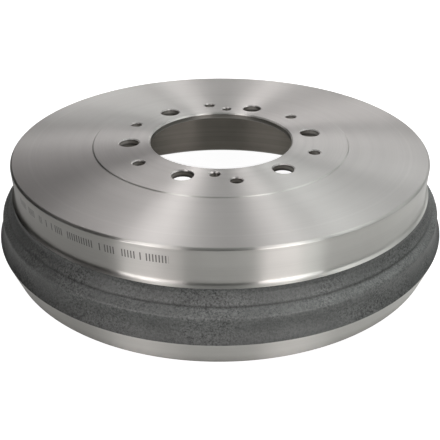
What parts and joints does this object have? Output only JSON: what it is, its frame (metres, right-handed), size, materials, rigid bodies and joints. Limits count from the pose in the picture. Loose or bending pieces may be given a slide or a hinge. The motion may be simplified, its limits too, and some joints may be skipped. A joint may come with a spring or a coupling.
{
  "type": "brake drum",
  "caption": "Cast-iron brake drum, a shallow round pan with a bored wheel face, drilled web, turned barrel, cast shoulder and a wider turned skirt at its open end.",
  "frame": {"origin": "on the drum's axis, in the plane of the open end's rim, which it rests on", "axes": "+Z along the axis from the open end to the wheel face; the first stud hole lies 9 degrees from +X"},
  "size_m": [0.3406, 0.3406, 0.076],
  "materials": {
    "iron": "turned bright on the working faces, sandy as cast between barrel and skirt"
  },
  "bodies": {
    "root": {"brake_drum": "iron"}
  },
  "joints": []
}
